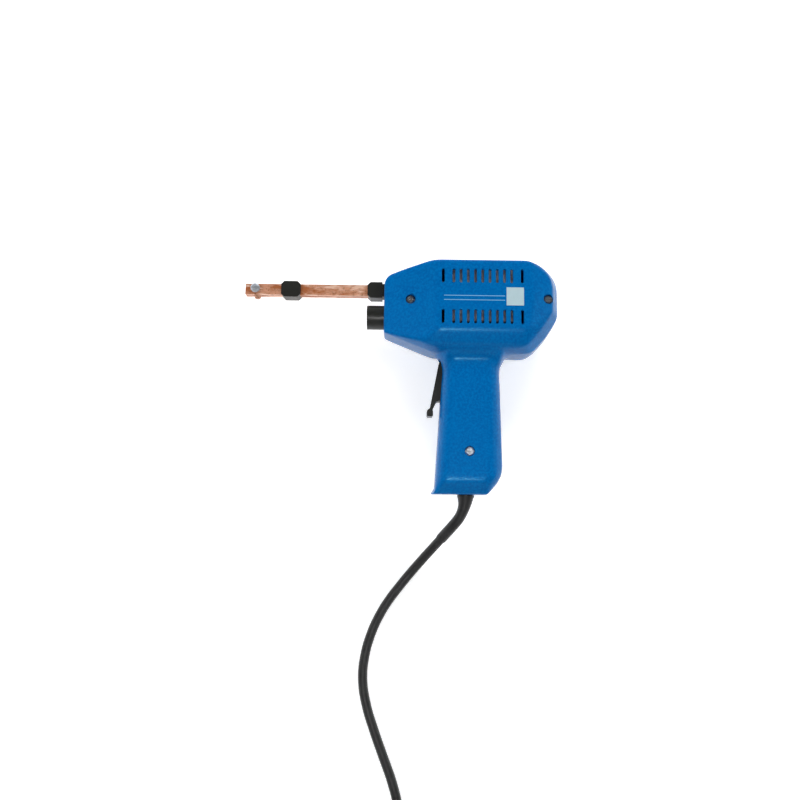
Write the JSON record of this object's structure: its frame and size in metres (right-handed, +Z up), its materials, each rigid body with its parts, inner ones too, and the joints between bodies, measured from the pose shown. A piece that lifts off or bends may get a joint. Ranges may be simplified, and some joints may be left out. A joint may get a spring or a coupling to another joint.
{
  "type": "instant-heat soldering iron",
  "caption": "Pistol-shaped soldering gun with copper bars, lamp, trigger, moulded shells and transformer, lying on its side with its mains lead and plug.",
  "frame": {"origin": "middle of the gun's length and height, on the plane that its far side lies on; the lead is left out of this", "axes": "+X from the copper bars to the rear of the head, +Y towards the top of the gun, +Z up from the far side to the near side"},
  "size_m": [0.2364, 0.5093, 0.0563],
  "materials": {
    "shell_blue": "semi-gloss moulded blue",
    "screw_dark": "blackened",
    "steel": "zinc plated",
    "print_white": "printed patch, blank",
    "print_blue": "printed lines",
    "copper": "copper, worn and slightly dull",
    "bit_copper": "copper, heat-darkened",
    "black_plastic": "black thermoset",
    "clear": "clear lens",
    "bulb_glass": "bulb",
    "brass": "plain",
    "switch_brown": "dark brown thermoset",
    "cream_plastic": "natural nylon",
    "lamination": "stacked sheet, varnished",
    "enamelled_wire": "enamelled winding, taped",
    "cord_black": "smooth flexible sheath",
    "wire_brown": "insulated wire",
    "wire_blue": "insulated wire",
    "wire_black": "insulated wire",
    "wire_grey": "insulated wire",
    "tie_grey": "flat band",
    "plug_black": "moulded"
  },
  "bodies": {
    "housing": {"near_shell": "shell_blue", "far_shell": "shell_blue", "head_screws": "screw_dark", "grip_screw": "steel", "label_patch": "print_white", "label_rules": "print_blue", "secondary_bar": "copper", "collar_front": "black_plastic", "collar_rear": "black_plastic", "lamp_hood": "black_plastic", "lamp_lens": "clear", "lamp_bulb": "bulb_glass", "lamp_cap": "brass", "lamp_socket": "switch_brown", "bit_screw": "steel", "bit_nut": "steel", "bit": "bit_copper", "trigger_pin": "steel", "trigger_spring": "steel", "switch_body": "switch_brown", "switch_terminals": "brass", "core_e": "lamination", "core_i": "lamination", "core_bolts": "steel", "core_nuts": "steel", "bobbin": "cream_plastic", "primary_winding": "enamelled_wire", "cord_clamp": "switch_brown", "cord_clamp_screws": "steel", "cord_sheath": "cord_black", "live_lead": "wire_brown", "neutral_lead": "wire_blue", "switch_lead": "wire_black", "lamp_leads": "wire_grey", "strain_relief": "cord_black", "cord_run": "cord_black", "cord_coil": "cord_black", "cord_tail": "cord_black", "cord_tie": "tie_grey", "plug_body": "plug_black", "plug_sleeves": "plug_black", "plug_pins": "brass"},
    "trigger_lever": {"trigger": "black_plastic"},
    "plunger": {"switch_plunger": "cream_plastic"}
  },
  "joints": [
    {"name": "trigger_hinge", "type": "hinge", "parent": "housing", "child": "trigger_lever", "pos_m": [0.04175, 0.00785, 0.028], "axis": [0, 0, 1], "range_deg": [0, 6], "stiffness_Nm_per_rad": 0.25, "springref_deg": -6.88, "deforming": ["trigger_spring"]},
    {"name": "plunger_slide", "type": "slide", "parent": "housing", "child": "plunger", "axis": [1, 0, 0], "range_m": [0, 0.0017]}
  ],
  "couplings": [
    {"joint": "plunger_slide", "follows": "trigger_hinge", "m_per_rad": 0.016}
  ]
}
